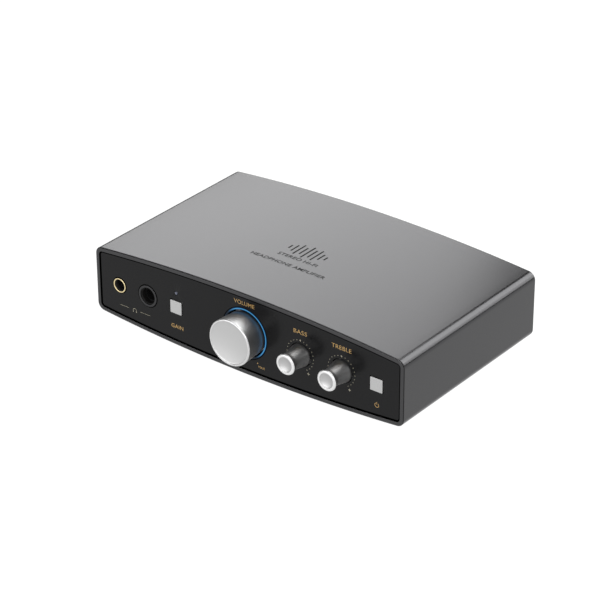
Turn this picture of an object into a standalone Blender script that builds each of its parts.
"""Desktop headphone amplifier: an extruded aluminium sleeve with a panel at each end.

Lengths are in metres.  Inside this file a place is given in "case coordinates": x to the
right, y back from the sleeve's front edge, z up from the line through the middle of all the
controls.  place() turns them into world coordinates, where the table is z = 0 and the middle
of the sleeve is above the origin.
"""
import math

import bmesh
import bpy

MM = 0.001

# ---- Case
WIDTH = 168.0 * MM             # outer width of the sleeve
DEPTH = 96.7 * MM              # front edge to rear edge of the sleeve
SIDE_HEIGHT = 31.14 * MM       # height where side and crown would meet in a sharp corner
CROWN = 4.07 * MM              # rise of the curved top, and fall of the curved bottom
CORNER_RADIUS = 3.9 * MM
WALL = 2.0 * MM
EDGE_CHAMFER = 0.5 * MM
AXIS_HEIGHT = 21.4 * MM        # controls' centre line above the table
GAP = 0.3 * MM                 # clearance between neighbouring pieces

# ---- End panels
PANEL_RECESS = 0.5 * MM        # panel face behind the sleeve's edge, at both ends
FRONT_PANEL_THICK = 2.5 * MM
REAR_PANEL_THICK = 2.0 * MM
FRONT_PANEL_BACK = PANEL_RECESS + FRONT_PANEL_THICK
REAR_PANEL_BACK = DEPTH - PANEL_RECESS
REAR_PANEL_FRONT = REAR_PANEL_BACK - REAR_PANEL_THICK

# ---- Controls along the front, from left to right
BALANCED_X = -70.7 * MM
HEADPHONE_X = -54.4 * MM
GAIN_X = -38.0 * MM
VOLUME_X = 0.0
BASS_X = 30.1 * MM
TREBLE_X = 51.7 * MM
POWER_X = 69.9 * MM
GAIN_LIGHT_Z = 6.8 * MM
REACH = 10.0 * MM              # knobs stand this far ahead, sockets this far behind the sleeve

VOLUME_RIM_RADIUS = 10.95 * MM
VOLUME_WAIST_RADIUS = 10.5 * MM
VOLUME_BASE_RADIUS = 10.5 * MM
VOLUME_SHAFT_RADIUS = 3.0 * MM
TONE_RIM_RADIUS = 4.8 * MM
TONE_WAIST_RADIUS = 4.1 * MM
TONE_BASE_RADIUS = 5.2 * MM
TONE_HOLE_RADIUS = 5.6 * MM
TONE_SHAFT_RADIUS = 2.0 * MM
KNOB_BACK = 1.2 * MM           # a knob's base ends this far inside the panel's hole
RING_INNER_RADIUS = 11.1 * MM
RING_OUTER_RADIUS = 12.0 * MM
BUTTON_HALF = 3.15 * MM
BUTTON_TRAVEL = 1.0 * MM

# ---- Boards
BOARD_THICK = 1.6 * MM
FRONT_BOARD_FRONT = 11.0 * MM
FRONT_BOARD_BACK = FRONT_BOARD_FRONT + BOARD_THICK
PARTS_BACK = FRONT_BOARD_FRONT - GAP     # parts on the front board end here
FRONT_BOARD_WIDTH = (-44.0 * MM, 75.0 * MM)
FRONT_BOARD_HEIGHT = (-13.8 * MM, 13.5 * MM)
MAIN_BOARD_TOP = -8.0 * MM
MAIN_BOARD_BOTTOM = MAIN_BOARD_TOP - BOARD_THICK
PARTS_FLOOR = MAIN_BOARD_TOP + GAP       # parts on the main board start here
MAIN_BOARD_FRONT = 13.0 * MM
MAIN_BOARD_BACK = 93.0 * MM
MAIN_BOARD_HALF = 80.9 * MM
RAILS_FRONT = 14.0 * MM                  # rails and screw bars start behind the front board

# ---- Screws, all the same size
SCREW_RADIUS = 1.25 * MM
SCREW_HOLE_RADIUS = SCREW_RADIUS + GAP
SCREW_HEAD_RADIUS = 2.1 * MM
SCREW_HEAD_HEIGHT = 1.5 * MM
SCREW_SOCKET_RADIUS = 0.9 * MM
SCREW_SIDES = 16
REAR_SCREW_X = 70.0 * MM
REAR_SCREW_Z = 12.2 * MM
POST_PLACES = [(x * MM, z * MM) for x in (-24.0, 61.0) for z in (11.0, -12.2)]
POST_RADIUS = 2.3 * MM

# ---- Rear connectors
RCA_PLACES = {"rca_left": 64.0 * MM, "rca_right": 48.0 * MM}
COAX_X = 30.0 * MM
RCA_RADIUS = 4.15 * MM
RCA_CORE_RADIUS = 3.5 * MM
RCA_PIN_RADIUS = 1.6 * MM
OPTICAL_X = 10.0 * MM
OPTICAL_HALF = 4.85 * MM
OPTICAL_MOUTH_HALF = 3.7 * MM
OPTICAL_Z = PARTS_FLOOR + OPTICAL_HALF
SHUTTER_THICK = 0.8 * MM
USB_PLACES = {"usb_data_socket": -20.0 * MM, "usb_power_socket": -60.0 * MM}
USB_HALF_WIDTH = 4.47 * MM
USB_HALF_HEIGHT = 1.63 * MM

FOOT_RADIUS = 6.0 * MM
FOOT_X = 60.0 * MM
FOOT_INSET = 19.0 * MM

ROUND = 24                     # sides of a small turned piece
ROUND_MEDIUM = 32              # sides of the tone knobs and the jack rings
ROUND_LARGE = 48               # sides of the volume knob and its ring


# ---- Materials

def make_material(name, colour, roughness, metallic=0.0):
    """One Principled material; the colour is linear RGB."""
    material = bpy.data.materials.new(name)
    material.use_nodes = True
    shader = material.node_tree.nodes["Principled BSDF"]
    shader.inputs["Base Color"].default_value = (*colour, 1.0)
    shader.inputs["Roughness"].default_value = roughness
    shader.inputs["Metallic"].default_value = metallic
    return material


def make_materials():
    """The materials by short name."""
    return {
        "sleeve": make_material("anodised aluminium, grey", (0.20, 0.20, 0.20), 0.45, 1.0),
        "panel": make_material("anodised aluminium, black", (0.02, 0.02, 0.021), 0.35, 0.4),
        "silver": make_material("turned aluminium", (0.62, 0.62, 0.62), 0.28, 1.0),
        "steel": make_material("plated steel", (0.42, 0.42, 0.43), 0.35, 1.0),
        "dark steel": make_material("blackened steel", (0.03, 0.03, 0.03), 0.4, 1.0),
        "gold": make_material("gold-plated brass", (0.75, 0.58, 0.28), 0.3, 1.0),
        "board": make_material("green circuit board", (0.01, 0.09, 0.04), 0.5),
        "black plastic": make_material("black plastic", (0.015, 0.015, 0.015), 0.5),
        "white plastic": make_material("white plastic", (0.75, 0.75, 0.73), 0.45),
        "red plastic": make_material("red plastic", (0.5, 0.02, 0.02), 0.45),
        "orange plastic": make_material("orange plastic", (0.7, 0.2, 0.02), 0.45),
        "light guide": make_material("acrylic light guide, blue", (0.05, 0.35, 0.85), 0.3),
        "rubber": make_material("rubber", (0.02, 0.02, 0.02), 0.8),
        "ferrite": make_material("ferrite", (0.06, 0.06, 0.06), 0.7),
    }


# ---- Shapes

def place(x, y, z):
    """Case coordinates to world coordinates."""
    return (x, y - DEPTH / 2, z + AXIS_HEIGHT)


def circle(x, z, y, radius, sides=ROUND):
    """A ring of points around an axis along Y."""
    angles = [2 * math.pi * index / sides for index in range(sides)]
    return [(x + radius * math.cos(angle), y, z + radius * math.sin(angle)) for angle in angles]


def rectangle(x, z, y, half_width, half_height, corner, steps=3):
    """A ring of points around a rectangle with round corners, facing along Y."""
    points = []
    for turn, (side_x, side_z) in enumerate([(1, 1), (-1, 1), (-1, -1), (1, -1)]):
        centre_x = x + side_x * (half_width - corner)
        centre_z = z + side_z * (half_height - corner)
        for step in range(steps + 1):
            angle = (turn + step / steps) * math.pi / 2
            points.append((centre_x + corner * math.cos(angle), y, centre_z + corner * math.sin(angle)))
    return points


def sleeve_outline(inset, y, crown_steps=8, corner_steps=4):
    """The sleeve's outer section moved inward by inset, as a ring of points at depth y."""
    crown_radius = ((WIDTH / 2) ** 2 + CROWN ** 2) / (2 * CROWN)
    crown_centre = SIDE_HEIGHT / 2 + CROWN - crown_radius
    radius = crown_radius - inset
    corner = CORNER_RADIUS - inset
    corner_x = WIDTH / 2 - inset - corner
    tangent = math.asin(corner_x / (radius - corner))
    corner_z = crown_centre + (radius - corner) * math.cos(tangent)
    quadrant = []
    for step in range(corner_steps):
        angle = (math.pi / 2 - tangent) * step / corner_steps
        quadrant.append((corner_x + corner * math.cos(angle), corner_z + corner * math.sin(angle)))
    for step in range(crown_steps):
        angle = tangent * (1 - step / crown_steps)
        quadrant.append((radius * math.sin(angle), crown_centre + radius * math.cos(angle)))
    top = (0.0, crown_centre + radius)
    upper_half = quadrant + [top] + [(-x, z) for x, z in reversed(quadrant)]
    whole = upper_half + [(-x, -z) for x, z in upper_half]
    return [(x, y, z) for x, z in whole]


def d_section(x, z, y, radius, flat):
    """A ring of points around a shaft with a flat at height flat above its axis."""
    ring = circle(x, z, y, radius, ROUND)
    return [(point_x, depth, min(point_z, z + flat)) for point_x, depth, point_z in ring]


def finish_mesh(name, bm, material, cutter=False):
    """A new object from a bmesh, with faces out, shaded smooth except at sharp edges."""
    bmesh.ops.recalc_face_normals(bm, faces=bm.faces[:])
    mesh = bpy.data.meshes.new(name)
    bm.to_mesh(mesh)
    bm.free()
    mesh.shade_smooth()
    mesh.set_sharp_from_angle(angle=math.radians(35))
    item = bpy.data.objects.new(name, mesh)
    bpy.context.scene.collection.objects.link(item)
    if cutter:
        item.hide_render = True
        item.display_type = "WIRE"
    else:
        mesh.materials.append(material)
    return item


def add_loft(bm, rings, loop=False):
    """Skin a row of rings; close it with end faces, or back onto its first ring."""
    rows = [[bm.verts.new(place(*point)) for point in ring] for ring in rings]
    pairs = list(zip(rows, rows[1:]))
    if loop:
        pairs.append((rows[-1], rows[0]))
    else:
        bm.faces.new(rows[0])
        bm.faces.new(rows[-1])
    for row, following in pairs:
        for index in range(len(row)):
            after = (index + 1) % len(row)
            bm.faces.new((row[index], row[after], following[after], following[index]))


def loft(name, rings, material, loop=False):
    """An object made by skinning a row of rings."""
    bm = bmesh.new()
    add_loft(bm, rings, loop)
    return finish_mesh(name, bm, material)


def turned(name, x, z, profile, material, sides=ROUND, loop=False):
    """A turned piece on an axis along Y; profile is a row of (y, radius)."""
    rings = [circle(x, z, y, radius, sides) for y, radius in profile]
    return loft(name, rings, material, loop)


def add_box(bm, x_range, y_range, z_range):
    """Add a box to a bmesh."""
    rings = []
    for y in y_range:
        (left, right), (low, high) = x_range, z_range
        rings.append([(left, y, low), (right, y, low), (right, y, high), (left, y, high)])
    add_loft(bm, rings)


def box(name, x_range, y_range, z_range, material):
    """A box as an object."""
    bm = bmesh.new()
    add_box(bm, x_range, y_range, z_range)
    return finish_mesh(name, bm, material)


def apply_tool(item, name, bm, operation="DIFFERENCE"):
    """Cut a bmesh out of an object, or join it on; the tool stays in the scene, hidden."""
    tool = finish_mesh(name, bm, None, cutter=True)
    modifier = item.modifiers.new(name, "BOOLEAN")
    modifier.operation = operation
    modifier.solver = "EXACT"
    modifier.object = tool


def move_origin(item, x, y, z):
    """Put an object's origin on its joint, leaving its shape where it is."""
    target = place(x, y, z)
    for vertex in item.data.vertices:
        for axis in range(3):
            vertex.co[axis] -= target[axis]
    item.location = target


# ---- Case

def make_sleeve(look):
    """Extruded sleeve with screw bars under the crown and rails that hold the main board."""
    rings = [
        sleeve_outline(EDGE_CHAMFER, 0.0),
        sleeve_outline(0.0, EDGE_CHAMFER),
        sleeve_outline(0.0, DEPTH - EDGE_CHAMFER),
        sleeve_outline(EDGE_CHAMFER, DEPTH),
        sleeve_outline(WALL, DEPTH),
        sleeve_outline(WALL, 0.0),
    ]
    sleeve = loft("case_sleeve", rings, look["sleeve"], loop=True)

    length = (RAILS_FRONT, REAR_PANEL_FRONT - GAP)
    inside_wall = WIDTH / 2 - WALL / 2
    rail_reach = MAIN_BOARD_HALF - 2 * MM
    bar_half = 2.4 * MM
    bar_foot = 15.6 * MM
    bar_face = REAR_SCREW_Z - 2.1 * MM
    rail_thick = 1.5 * MM
    bars = bmesh.new()
    for side in (-1, 1):
        for level in (-1, 1):
            centre = side * REAR_SCREW_X
            add_box(bars, (centre - bar_half, centre + bar_half), length,
                    sorted((level * bar_face, level * bar_foot)))
        across = sorted((side * rail_reach, side * inside_wall))
        under = MAIN_BOARD_BOTTOM - GAP
        over = MAIN_BOARD_TOP + GAP
        add_box(bars, across, length, (under - rail_thick, under))
        add_box(bars, across, length, (over, over + rail_thick))
    apply_tool(sleeve, "sleeve_bars_and_rails", bars, "UNION")

    holes = bmesh.new()
    for x, z in rear_screw_places():
        add_loft(holes, [circle(x, z, y, SCREW_HOLE_RADIUS, SCREW_SIDES) for y in (86 * MM, DEPTH - MM)])
    apply_tool(sleeve, "sleeve_screw_holes", holes)


def rear_screw_places():
    """Case coordinates (x, z) of the four rear screws."""
    return [(x, z) for x in (-REAR_SCREW_X, REAR_SCREW_X) for z in (-REAR_SCREW_Z, REAR_SCREW_Z)]


def make_front_panel(look):
    """Front plate with its openings, and posts behind it for the front board."""
    inset = WALL + GAP
    panel = loft("front_panel", [sleeve_outline(inset, PANEL_RECESS),
                                 sleeve_outline(inset, FRONT_PANEL_BACK)], look["panel"])
    posts = bmesh.new()
    for x, z in POST_PLACES:
        ends = (FRONT_PANEL_BACK - MM, PARTS_BACK)
        add_loft(posts, [circle(x, z, y, POST_RADIUS, SCREW_SIDES) for y in ends])
    apply_tool(panel, "panel_posts", posts, "UNION")

    holes = bmesh.new()
    through = (-MM, FRONT_PANEL_BACK + MM)
    round_holes = [
        (BALANCED_X, 0.0, 3.6 * MM + GAP),
        (HEADPHONE_X, 0.0, 5.2 * MM + GAP),
        (GAIN_X, GAIN_LIGHT_Z, 0.6 * MM + GAP),
        (VOLUME_X, 0.0, RING_OUTER_RADIUS + GAP),
        (BASS_X, 0.0, TONE_HOLE_RADIUS),
        (TREBLE_X, 0.0, TONE_HOLE_RADIUS),
    ]
    for x, z, radius in round_holes:
        add_loft(holes, [circle(x, z, y, radius, ROUND_MEDIUM) for y in through])
    for x in (GAIN_X, POWER_X):
        half = BUTTON_HALF + GAP
        add_loft(holes, [rectangle(x, 0.0, y, half, half, 0.6 * MM) for y in through])
    for x, z in POST_PLACES:
        depths = (5 * MM, PARTS_BACK + MM)
        add_loft(holes, [circle(x, z, y, SCREW_HOLE_RADIUS, SCREW_SIDES) for y in depths])
    apply_tool(panel, "panel_holes", holes)


def make_rear_panel(look):
    """Rear plate with its connector openings and four screw holes."""
    inset = WALL + GAP
    panel = loft("rear_panel", [sleeve_outline(inset, REAR_PANEL_FRONT),
                                sleeve_outline(inset, REAR_PANEL_BACK)], look["panel"])
    holes = bmesh.new()
    through = (REAR_PANEL_FRONT - MM, REAR_PANEL_BACK + MM)
    for x in (*RCA_PLACES.values(), COAX_X):
        add_loft(holes, [circle(x, 0.0, y, RCA_RADIUS + GAP) for y in through])
    for x, z in rear_screw_places():
        add_loft(holes, [circle(x, z, y, SCREW_HOLE_RADIUS, SCREW_SIDES) for y in through])
    half = OPTICAL_HALF + GAP
    add_loft(holes, [rectangle(OPTICAL_X, OPTICAL_Z, y, half, half, 0.3 * MM) for y in through])
    for x in USB_PLACES.values():
        add_loft(holes, [rectangle(x, usb_height(), y, USB_HALF_WIDTH + GAP, USB_HALF_HEIGHT + GAP,
                                   USB_HALF_HEIGHT) for y in through])
    apply_tool(panel, "rear_panel_holes", holes)


def make_screw(name, x, z, seat, tip, look):
    """A socket-head screw whose head rests at y = seat and whose shank reaches forward to tip."""
    chamfer = 0.3 * MM
    head_back = seat + SCREW_HEAD_HEIGHT
    profile = [
        (tip, SCREW_RADIUS - chamfer),
        (tip + chamfer, SCREW_RADIUS),
        (seat, SCREW_RADIUS),
        (seat, SCREW_HEAD_RADIUS),
        (head_back - chamfer, SCREW_HEAD_RADIUS),
        (head_back, SCREW_HEAD_RADIUS - chamfer),
    ]
    screw = turned(name, x, z, profile, look["dark steel"], SCREW_SIDES)
    socket = bmesh.new()
    ends = (head_back - MM, head_back + MM)
    add_loft(socket, [circle(x, z, y, SCREW_SOCKET_RADIUS, 6) for y in ends])
    apply_tool(screw, name + "_hex_socket", socket)


def make_screws(look):
    """Four screws hold the rear panel, four hold the front board."""
    for number, (x, z) in enumerate(rear_screw_places(), start=1):
        make_screw(f"rear_screw_{number}", x, z, REAR_PANEL_BACK + GAP, 88 * MM, look)
    for number, (x, z) in enumerate(POST_PLACES, start=1):
        make_screw(f"board_screw_{number}", x, z, FRONT_BOARD_BACK + GAP, 6 * MM, look)


def make_feet(look):
    """Four rubber feet, their tops shaped to the curved underside."""
    floor = -AXIS_HEIGHT
    number = 0
    for x in (-FOOT_X, FOOT_X):
        for y in (FOOT_INSET, DEPTH - FOOT_INSET):
            number += 1
            bm = bmesh.new()
            profile = [(floor, FOOT_RADIUS - 0.6 * MM), (floor + 0.6 * MM, FOOT_RADIUS),
                       (floor + 6 * MM, FOOT_RADIUS)]
            rings = []
            for z, radius in profile:
                flat_ring = circle(0.0, 0.0, 0.0, radius)
                rings.append([(x + across, y + along, z) for across, _, along in flat_ring])
            add_loft(bm, rings)
            foot = finish_mesh(f"foot_{number}", bm, look["rubber"])
            underside = bmesh.new()
            add_loft(underside, [sleeve_outline(-GAP, depth, 16) for depth in (-MM, DEPTH + MM)])
            apply_tool(foot, f"foot_{number}_top", underside)


# ---- Boards and what they carry

def make_boards(look):
    """Front board upright behind the panel, main board flat in the sleeve's rails."""
    front = box("front_board", FRONT_BOARD_WIDTH, (FRONT_BOARD_FRONT, FRONT_BOARD_BACK),
                FRONT_BOARD_HEIGHT, look["board"])
    holes = bmesh.new()
    through = (FRONT_BOARD_FRONT - MM, FRONT_BOARD_BACK + MM)
    for x, z in POST_PLACES:
        add_loft(holes, [circle(x, z, y, SCREW_HOLE_RADIUS, SCREW_SIDES) for y in through])
    apply_tool(front, "front_board_holes", holes)
    box("main_board", (-MAIN_BOARD_HALF, MAIN_BOARD_HALF), (MAIN_BOARD_FRONT, MAIN_BOARD_BACK),
        (MAIN_BOARD_BOTTOM, MAIN_BOARD_TOP), look["board"])
    box("board_header", (-18 * MM, 18 * MM), (FRONT_BOARD_BACK + GAP, 17 * MM),
        (PARTS_FLOOR, -3 * MM), look["black plastic"])


def make_board_parts(look):
    """Larger components on the main board: name, centre (x, y), size (x, y), height, material."""
    blocks = [
        ("power_inductor", (-38, 74), (12, 12), 7.0, "ferrite"),
        ("output_relay", (-58, 41), (15, 7.5), 10.0, "white plastic"),
        ("usb_chip", (-18, 70), (10, 10), 1.4, "black plastic"),
        ("dac_chip", (8, 62), (10, 10), 1.2, "black plastic"),
        ("clock_oscillator", (-4, 70), (5, 3.2), 1.2, "steel"),
        ("amplifier_chip_left", (-26, 36), (6.5, 6.5), 1.5, "black plastic"),
        ("amplifier_chip_right", (-10, 36), (6.5, 6.5), 1.5, "black plastic"),
    ]
    for name, (x, y), (size_x, size_y), height, material in blocks:
        box(name, ((x - size_x / 2) * MM, (x + size_x / 2) * MM),
            ((y - size_y / 2) * MM, (y + size_y / 2) * MM),
            (PARTS_FLOOR, PARTS_FLOOR + height * MM), look[material])
    for number, y in enumerate((58 * MM, 74 * MM), start=1):
        make_capacitor(f"reservoir_capacitor_{number}", -58 * MM, y, look)


def make_capacitor(name, x, y, look):
    """An upright electrolytic can with a rolled groove near its foot."""
    radius = 6.3 * MM
    groove = 0.5 * MM
    heights = [(0.0, radius), (2.0, radius), (2.8, radius - groove), (3.6, radius), (15.5, radius),
               (16.0, radius - groove)]
    rings = []
    for height, ring_radius in heights:
        flat_ring = circle(0.0, 0.0, 0.0, ring_radius)
        rings.append([(x + across, y + along, PARTS_FLOOR + height * MM)
                      for across, _, along in flat_ring])
    loft(name, rings, look["black plastic"])


def make_jack(name, x, ring_radius, bore_radius, ring_front, body_half, bore_depth, ring_look, look):
    """A headphone jack: a housing on the main board and the ring nut seen in the panel."""
    housing_front = FRONT_PANEL_BACK + GAP
    housing_back = housing_front + bore_depth + 3 * MM
    bottom = PARTS_FLOOR
    top = body_half
    housing = box(name + "_jack", (x - body_half, x + body_half), (housing_front, housing_back),
                  (bottom, top), look["black plastic"])
    bore = bmesh.new()
    ends = (housing_front - MM, housing_front + bore_depth)
    add_loft(bore, [circle(x, 0.0, y, bore_radius) for y in ends])
    apply_tool(housing, name + "_bore", bore)
    chamfer = 0.3 * MM
    ring_back = FRONT_PANEL_BACK
    profile = [
        (ring_front, bore_radius + chamfer),
        (ring_front, ring_radius - chamfer),
        (ring_front + chamfer, ring_radius),
        (ring_back, ring_radius),
        (ring_back, bore_radius),
        (ring_front + chamfer, bore_radius),
    ]
    turned(name + "_ring", x, 0.0, profile, ring_look, ROUND_MEDIUM, loop=True)


def make_jacks(look):
    """The 4.4 mm balanced jack with its gilt ring and the 6.35 mm jack with its black ring."""
    make_jack("balanced", BALANCED_X, 3.6 * MM, 2.25 * MM, 0.2 * MM, 5.5 * MM, 19 * MM,
              look["gold"], look)
    make_jack("headphone", HEADPHONE_X, 5.2 * MM, 3.3 * MM, 0.3 * MM, 7.5 * MM, 26 * MM,
              look["dark steel"], look)


# ---- Knobs, pots and the light ring

def knob_profile(rim, waist, base, face_flat, dish):
    """Section of a waisted knob from the middle of its dished face to its base, as (y, radius)."""
    face = -REACH
    chamfer = 0.2 * MM
    lip_back = face + 0.8 * MM
    profile = []
    dish_steps = 4
    for step in range(dish_steps + 1):
        part = max(step / dish_steps, 0.02)
        profile.append((face + dish * (1 - part ** 2), (rim - face_flat) * part))
    profile += [(face, rim - chamfer), (face + chamfer, rim), (lip_back, rim)]
    waist_steps = 6
    waist_at = 0.2
    for step in range(1, waist_steps + 1):
        part = step / waist_steps
        y = lip_back + (0.0 - lip_back) * part
        if part < waist_at:
            swell = (1 - part / waist_at) ** 2
            radius = waist + (rim - waist) * swell
        else:
            swell = ((part - waist_at) / (1 - waist_at)) ** 1.7
            radius = waist + (base - waist) * swell
        profile.append((y, radius))
    profile.append((KNOB_BACK, base))
    return profile


def make_knob(name, x, rim, waist, base, face_flat, dish, shaft_radius, sides, look):
    """A turned aluminium knob, its D-shaped bore and the shaft that it sits on."""
    profile = knob_profile(rim, waist, base, face_flat, dish)
    knob = turned(name + "_knob", x, 0.0, profile, look["silver"], sides)
    flat = shaft_radius * 0.6
    bore_end = -6.5 * MM
    bore = bmesh.new()
    ends = (bore_end, KNOB_BACK + MM)
    add_loft(bore, [d_section(x, 0.0, y, shaft_radius + GAP, flat + GAP) for y in ends])
    apply_tool(knob, name + "_knob_bore", bore)
    move_origin(knob, x, 0.0, 0.0)

    flat_end = KNOB_BACK
    shaft_tip = bore_end + 2 * GAP
    rings = [d_section(x, 0.0, y, shaft_radius, flat) for y in (shaft_tip, flat_end)]
    rings += [circle(x, 0.0, y, shaft_radius) for y in (flat_end + 0.01 * MM, 8.5 * MM)]
    shaft = loft(name + "_shaft", rings, look["steel"])
    move_origin(shaft, x, 0.0, 0.0)


def make_pot(name, x, half, body_front, bushing_radius, shaft_radius, look):
    """A rotary control on the front board: square body with a round bushing for its shaft."""
    pot = box(name + "_pot", (x - half, x + half), (body_front, PARTS_BACK), (-half, half), look["steel"])
    bushing = bmesh.new()
    ends = (body_front - 2 * MM, body_front + MM)
    add_loft(bushing, [circle(x, 0.0, y, bushing_radius) for y in ends])
    apply_tool(pot, name + "_pot_bushing", bushing, "UNION")
    bore = bmesh.new()
    ends = (body_front - 3 * MM, 9 * MM)
    add_loft(bore, [circle(x, 0.0, y, shaft_radius + GAP) for y in ends])
    apply_tool(pot, name + "_pot_bore", bore)


def make_controls(look):
    """Volume, bass and treble: each a knob and a shaft that turn together in a fixed pot."""
    make_knob("volume", VOLUME_X, VOLUME_RIM_RADIUS, VOLUME_WAIST_RADIUS, VOLUME_BASE_RADIUS,
              1.0 * MM, 0.35 * MM, VOLUME_SHAFT_RADIUS, ROUND_LARGE, look)
    make_pot("volume", VOLUME_X, 8.0 * MM, 4.9 * MM, 4.7 * MM, VOLUME_SHAFT_RADIUS, look)
    for name, x in (("bass", BASS_X), ("treble", TREBLE_X)):
        make_knob(name, x, TONE_RIM_RADIUS, TONE_WAIST_RADIUS, TONE_BASE_RADIUS,
                  0.9 * MM, 0.9 * MM, TONE_SHAFT_RADIUS, ROUND_MEDIUM, look)
        make_pot(name, x, 4.9 * MM, 4.2 * MM, 3.2 * MM, TONE_SHAFT_RADIUS, look)


def make_light_ring(look):
    """Clear ring around the volume knob, with a flange that traps it behind the panel."""
    flange_front = FRONT_PANEL_BACK + GAP
    ring_back = flange_front + 1.2 * MM
    flange_radius = RING_OUTER_RADIUS + 1.5 * MM
    profile = [
        (PANEL_RECESS, RING_INNER_RADIUS),
        (PANEL_RECESS, RING_OUTER_RADIUS),
        (flange_front, RING_OUTER_RADIUS),
        (flange_front, flange_radius),
        (ring_back, flange_radius),
        (ring_back, RING_INNER_RADIUS),
    ]
    turned("light_ring", VOLUME_X, 0.0, profile, look["light guide"], ROUND_LARGE, loop=True)
    turned("gain_light", GAIN_X, GAIN_LIGHT_Z, [(PANEL_RECESS, 0.6 * MM), (PARTS_BACK, 0.6 * MM)],
           look["light guide"], sides=SCREW_SIDES)


def make_buttons(look):
    """Square push buttons with a flange behind the panel and a plunger onto a small switch."""
    flange_front = FRONT_PANEL_BACK + GAP
    flange_back = flange_front + 0.9 * MM
    plunger_back = 5.9 * MM
    chamfer = 0.2 * MM
    sections = [
        (0.0, BUTTON_HALF - chamfer),
        (chamfer, BUTTON_HALF),
        (flange_front, BUTTON_HALF),
        (flange_front, BUTTON_HALF + MM),
        (flange_back, BUTTON_HALF + MM),
        (flange_back, 1.4 * MM),
        (plunger_back, 1.4 * MM),
    ]
    switch_front = plunger_back + BUTTON_TRAVEL + GAP
    for name, x in (("gain", GAIN_X), ("power", POWER_X)):
        rings = [rectangle(x, 0.0, y, half, half, 0.4 * MM) for y, half in sections]
        button = loft(name + "_button", rings, look["silver"])
        move_origin(button, x, 0.0, 0.0)
        box(name + "_switch", (x - 3 * MM, x + 3 * MM), (switch_front, PARTS_BACK),
            (-3 * MM, 3 * MM), look["black plastic"])


# ---- Rear connectors

def usb_height():
    """Height of the middle of a USB-C mouth that stands on the main board."""
    return PARTS_FLOOR + USB_HALF_HEIGHT


def make_rca(name, x, core_look, look):
    """A phono socket: plated barrel around a coloured core with a hole for the pin."""
    back = DEPTH + REACH
    front = REAR_PANEL_FRONT - 2 * MM
    chamfer = 0.3 * MM
    barrel = [(front, RCA_RADIUS), (back - chamfer, RCA_RADIUS), (back, RCA_RADIUS - chamfer),
              (back, RCA_CORE_RADIUS + GAP), (front, RCA_CORE_RADIUS + GAP)]
    turned(name + "_barrel", x, 0.0, barrel, look["gold"], loop=True)
    core_back = back - 0.4 * MM
    core = [(front, RCA_CORE_RADIUS), (core_back, RCA_CORE_RADIUS), (core_back, RCA_PIN_RADIUS),
            (front + 3 * MM, RCA_PIN_RADIUS), (front + 3 * MM, 0.4 * MM)]
    turned(name + "_core", x, 0.0, core, core_look)


def make_rear_connectors(look):
    """Two line-out sockets on one housing, a coaxial input, and two USB-C sockets."""
    housing_back = REAR_PANEL_FRONT - 2 * MM - GAP
    housing_depth = (housing_back - 10 * MM, housing_back)
    housing_height = (PARTS_FLOOR, 6 * MM)
    box("rca_housing", (41 * MM, 71 * MM), housing_depth, housing_height, look["black plastic"])
    box("coaxial_housing", (24 * MM, 36 * MM), housing_depth, housing_height, look["black plastic"])
    make_rca("rca_left", RCA_PLACES["rca_left"], look["white plastic"], look)
    make_rca("rca_right", RCA_PLACES["rca_right"], look["red plastic"], look)
    make_rca("coaxial", COAX_X, look["orange plastic"], look)
    for name, x in USB_PLACES.items():
        make_usb(name, x, look)


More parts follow.
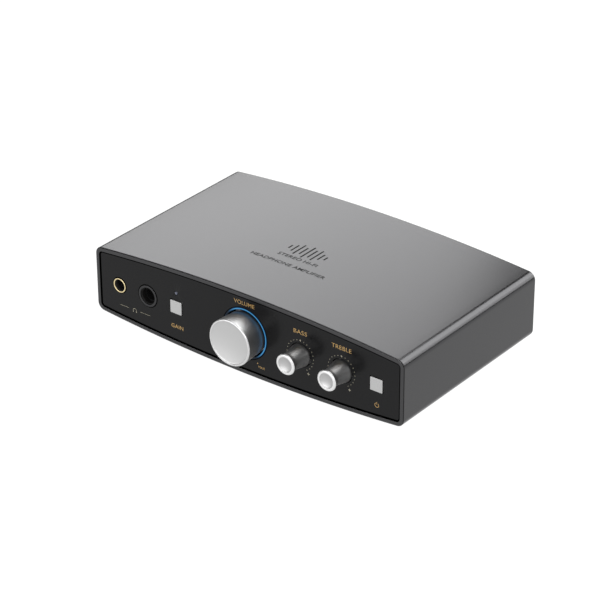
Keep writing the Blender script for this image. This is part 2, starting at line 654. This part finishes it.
def make_usb(name, x, look):
    """A USB-C socket: a steel shell with the contact tongue standing in its mouth."""
    wall = 0.35 * MM
    back = REAR_PANEL_BACK + 0.2 * MM
    front = back - 8.5 * MM
    middle = usb_height()
    rings = [rectangle(x, middle, y, USB_HALF_WIDTH, USB_HALF_HEIGHT, USB_HALF_HEIGHT - 0.01 * MM)
             for y in (front, back)]
    socket = loft(name, rings, look["steel"])
    mouth = bmesh.new()
    inner_height = USB_HALF_HEIGHT - wall
    add_loft(mouth, [rectangle(x, middle, y, USB_HALF_WIDTH - wall, inner_height, inner_height - 0.01 * MM)
                     for y in (front + 2 * MM, back + MM)])
    apply_tool(socket, name + "_mouth", mouth)
    tongue = bmesh.new()
    add_box(tongue, (x - 3.3 * MM, x + 3.3 * MM), (front + MM, back - 0.8 * MM),
            (middle - 0.35 * MM, middle + 0.35 * MM))
    apply_tool(socket, name + "_tongue", tongue, "UNION")


def make_optical(look):
    """The optical input: a square housing whose mouth is closed by a spring-loaded shutter."""
    back = REAR_PANEL_BACK + 0.4 * MM
    housing = box("optical_socket", (OPTICAL_X - OPTICAL_HALF, OPTICAL_X + OPTICAL_HALF), (82 * MM, back),
                  (OPTICAL_Z - OPTICAL_HALF, OPTICAL_Z + OPTICAL_HALF), look["black plastic"])
    mouth = bmesh.new()
    half = OPTICAL_MOUTH_HALF
    add_box(mouth, (OPTICAL_X - half, OPTICAL_X + half), (back - 9.5 * MM, back + MM),
            (OPTICAL_Z - half, OPTICAL_Z + half))
    apply_tool(housing, "optical_mouth", mouth)

    leaf_half = half - GAP
    barrel_radius = SHUTTER_THICK / 2
    hinge_y = back - 1.0 * MM
    hinge_z = OPTICAL_Z + half - 0.9 * MM
    leaf_bottom = OPTICAL_Z - leaf_half
    steps = 8
    section = [(hinge_y - barrel_radius, leaf_bottom), (hinge_y + barrel_radius, leaf_bottom)]
    for step in range(steps + 1):
        angle = math.pi * step / steps
        along = hinge_y + barrel_radius * math.cos(angle)
        section.append((along, hinge_z + barrel_radius * math.sin(angle)))
    rings = [[(OPTICAL_X + side * leaf_half, y, z) for y, z in section] for side in (-1, 1)]
    shutter = loft("optical_shutter", rings, look["black plastic"])
    move_origin(shutter, OPTICAL_X, hinge_y, hinge_z)


def clear_scene():
    """Remove whatever the scene held."""
    for item in list(bpy.data.objects):
        bpy.data.objects.remove(item, do_unlink=True)


def build():
    """Make the whole amplifier."""
    clear_scene()
    look = make_materials()
    make_sleeve(look)
    make_front_panel(look)
    make_rear_panel(look)
    make_screws(look)
    make_feet(look)
    make_boards(look)
    make_board_parts(look)
    make_jacks(look)
    make_controls(look)
    make_light_ring(look)
    make_buttons(look)
    make_rear_connectors(look)
    make_optical(look)


build()
